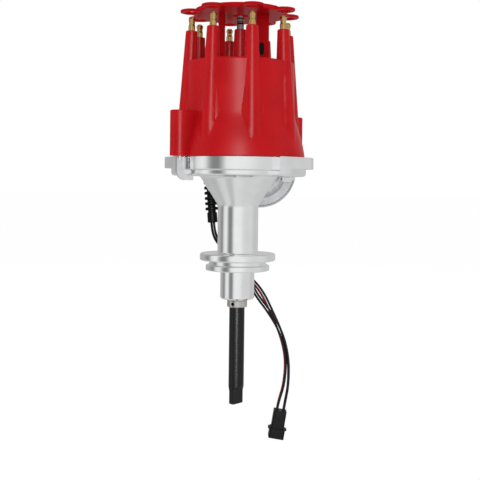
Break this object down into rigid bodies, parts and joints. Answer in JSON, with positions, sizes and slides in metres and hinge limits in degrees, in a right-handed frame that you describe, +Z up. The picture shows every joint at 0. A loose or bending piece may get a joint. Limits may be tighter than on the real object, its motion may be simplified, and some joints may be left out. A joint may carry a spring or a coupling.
{
  "type": "ignition distributor",
  "caption": "Ignition distributor for a V8: turned aluminium housing, red cap with towers and wire retainer, advance, vacuum canister, drive shaft with tang and wired connector.",
  "frame": {"origin": "on the shaft axis, at the face of the lower flange ring that sits on the engine block", "axes": "+Z up along the shaft axis towards the cap; +Y towards the vacuum canister; -Y is the side that shows the left latch and the bare label place"},
  "size_m": [0.1392, 0.1733, 0.4071],
  "materials": {
    "billet_aluminium": "fine turned, bright",
    "red_plastic": "moulded, satin gloss",
    "retainer_plastic": "moulded, satin gloss",
    "brass": "bright turned",
    "gunmetal": "dark plated",
    "chrome": "polished",
    "shaft_steel": "black oxide, satin",
    "turned_steel": "turned",
    "bearing_steel": "ground",
    "sintered_bronze": "sintered, matt",
    "zinc_steel": "zinc plated",
    "black_rubber": "moulded rubber",
    "diaphragm_rubber": "coated fabric",
    "black_nylon": "moulded nylon",
    "black_moulding": "moulded, potted",
    "rotor_plastic": "moulded",
    "carbon": "pressed carbon",
    "wire_red": "insulation",
    "wire_black": "insulation",
    "wire_green": "insulation",
    "wire_violet": "insulation"
  },
  "bodies": {
    "housing": {"housing": "billet_aluminium", "lower_bushing": "sintered_bronze", "bearing_outer_race": "bearing_steel", "bearing_circlip": "shaft_steel", "thrust_washer": "turned_steel", "ignition_module": "black_moulding", "module_screws": "zinc_steel", "cap": "red_plastic", "plug_terminals": "brass", "coil_terminal": "gunmetal", "carbon_brush": "carbon", "brush_spring": "zinc_steel", "latch_springs": "zinc_steel", "wire_retainer": "retainer_plastic", "cap_vent": "black_nylon", "retainer_screws": "zinc_steel", "vacuum_front_shell": "zinc_steel", "vacuum_rear_shell": "zinc_steel", "vacuum_nipple": "zinc_steel", "vacuum_diaphragm": "diaphragm_rubber", "vacuum_spring": "zinc_steel", "vacuum_bracket": "zinc_steel", "bracket_screws": "zinc_steel", "strain_relief": "black_rubber", "wire_ignition": "wire_red", "wire_ground": "wire_black", "wire_coil": "wire_green", "wire_tach": "wire_violet", "connector_housing": "black_nylon", "connector_pins": "brass"},
    "shaft": {"shaft": "shaft_steel", "thrust_collar": "turned_steel", "roll_pin": "shaft_steel", "bearing_inner_race": "bearing_steel", "advance_cam": "turned_steel"},
    "bearing_cage": {"bearing_cage": "brass", "bearing_balls": "bearing_steel"},
    "rotor": {"advance_plate": "zinc_steel", "reluctor": "turned_steel", "rotor": "rotor_plastic", "rotor_contact": "brass", "rotor_screws": "zinc_steel", "advance_springs": "zinc_steel"},
    "weight_a": {"advance_weight_a": "zinc_steel"},
    "weight_b": {"advance_weight_b": "zinc_steel"},
    "pickup": {"pickup_plate": "zinc_steel", "pickup_coil": "black_moulding", "pickup_pole": "turned_steel", "pickup_screws": "zinc_steel"},
    "vacuum_arm": {"vacuum_arm": "zinc_steel"},
    "latch_left": {"cap_latch_left": "chrome"},
    "latch_right": {"cap_latch_right": "chrome"}
  },
  "joints": [
    {"name": "shaft_spin", "type": "hinge", "parent": "housing", "child": "shaft", "pos_m": [0, 0, 0.02], "axis": [0, 0, 1], "continuous": true},
    {"name": "cage_spin", "type": "hinge", "parent": "housing", "child": "bearing_cage", "pos_m": [0, 0, 0.094], "axis": [0, 0, 1], "continuous": true},
    {"name": "advance_turn", "type": "hinge", "parent": "shaft", "child": "rotor", "pos_m": [0, 0, 0.11], "axis": [0, 0, 1], "range_deg": [0, 12], "stiffness_Nm_per_rad": 0.3, "springref_deg": -2.86, "deforming": ["advance_springs"]},
    {"name": "weight_a_swing", "type": "hinge", "parent": "rotor", "child": "weight_a", "pos_m": [0.026, 0, 0.125], "axis": [0, 0, -1], "range_deg": [0, 14]},
    {"name": "weight_b_swing", "type": "hinge", "parent": "rotor", "child": "weight_b", "pos_m": [-0.026, 0, 0.125], "axis": [0, 0, -1], "range_deg": [0, 14]},
    {"name": "pickup_turn", "type": "hinge", "parent": "housing", "child": "pickup", "pos_m": [0, 0, 0.1], "axis": [0, 0, 1], "range_deg": [0, 8], "stiffness_Nm_per_rad": 0.5, "springref_deg": -2.86},
    {"name": "vacuum_pull", "type": "slide", "parent": "housing", "child": "vacuum_arm", "axis": [0, 1, 0], "range_m": [0, 0.00476], "deforming": ["vacuum_diaphragm", "vacuum_spring"]},
    {"name": "latch_left_turn", "type": "hinge", "parent": "housing", "child": "latch_left", "pos_m": [-0.05273, -0.03556, 0.125], "axis": [0, 0, -1], "range_deg": [0, 100]},
    {"name": "latch_right_turn", "type": "hinge", "parent": "housing", "child": "latch_right", "pos_m": [0.05273, 0.03556, 0.125], "axis": [0, 0, -1], "range_deg": [0, 100]}
  ],
  "couplings": [
    {"joint": "cage_spin", "follows": "shaft_spin", "ratio": 0.3825},
    {"joint": "weight_a_swing", "follows": "advance_turn", "ratio": 1.1667},
    {"joint": "weight_b_swing", "follows": "advance_turn", "ratio": 1.1667},
    {"joint": "vacuum_pull", "follows": "pickup_turn", "m_per_rad": 0.033972}
  ]
}
